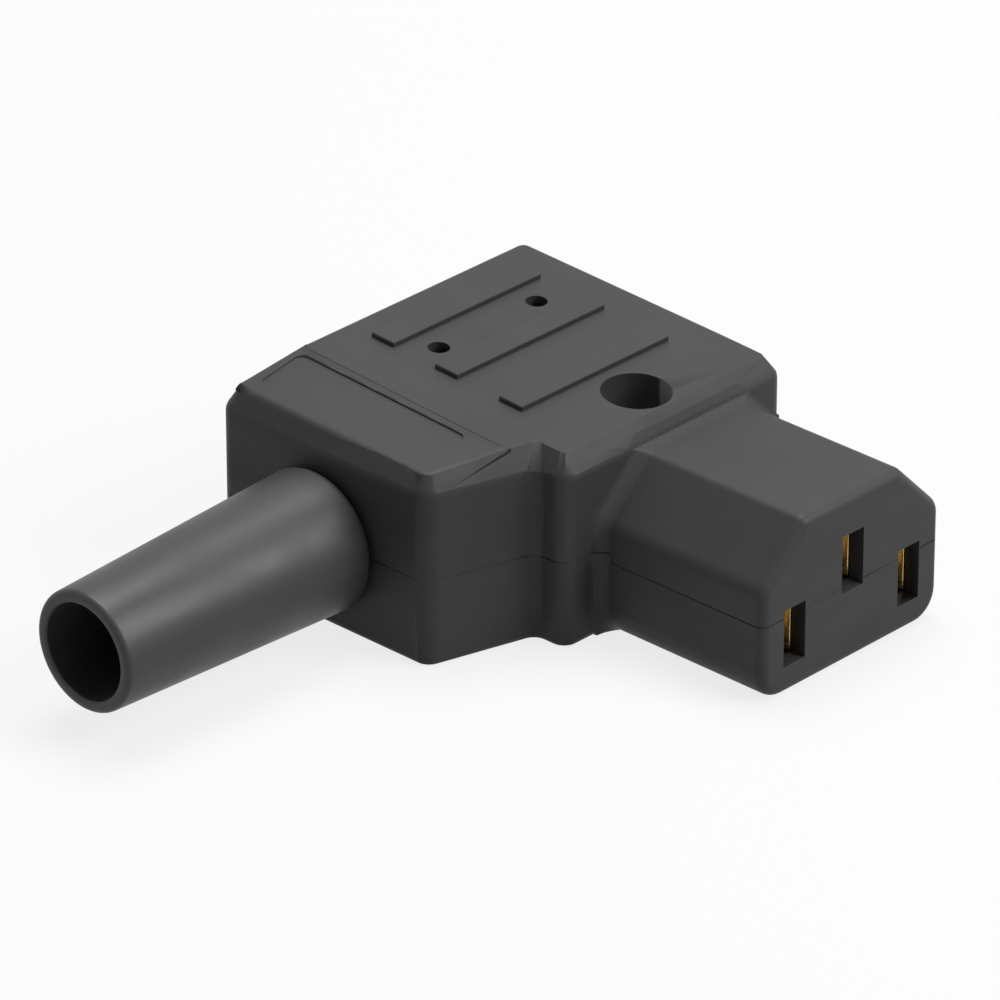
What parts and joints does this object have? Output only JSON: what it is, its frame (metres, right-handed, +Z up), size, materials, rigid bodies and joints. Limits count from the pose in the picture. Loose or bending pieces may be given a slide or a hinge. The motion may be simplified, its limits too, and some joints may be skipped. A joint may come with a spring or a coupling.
{
  "type": "right-angle c13 power connector",
  "caption": "Right-angle rewireable C13 power connector: two black half shells, a keyed contact face and a tapered cable sleeve.",
  "frame": {"origin": "on the underside, straight below where the cable axis crosses the contact axis seen from above", "axes": "+Z up off the flat underside, +X the way the contact face points, -Y the way the cable leaves"},
  "size_m": [0.0476, 0.0636, 0.0192],
  "materials": {
    "shell_black": "moulded thermoplastic, fine satin",
    "sleeve_black": "soft moulded PVC, satin",
    "clamp_plastic": "moulded thermoplastic, satin",
    "contact_brass": "pressed sheet brass",
    "terminal_brass": "machined brass",
    "screw_steel": "zinc plated steel"
  },
  "bodies": {
    "root": {"upper_shell": "shell_black", "lower_shell": "shell_black", "cable_sleeve": "sleeve_black", "live_contact": "contact_brass", "neutral_contact": "contact_brass", "earth_contact": "contact_brass", "live_terminal": "terminal_brass", "neutral_terminal": "terminal_brass", "earth_terminal": "terminal_brass", "live_terminal_screw": "screw_steel", "neutral_terminal_screw": "screw_steel", "earth_terminal_screw": "screw_steel", "cord_clamp": "clamp_plastic", "cord_clamp_screw_left": "screw_steel", "cord_clamp_screw_right": "screw_steel", "cover_screw": "screw_steel", "cover_nut": "screw_steel"}
  },
  "joints": []
}
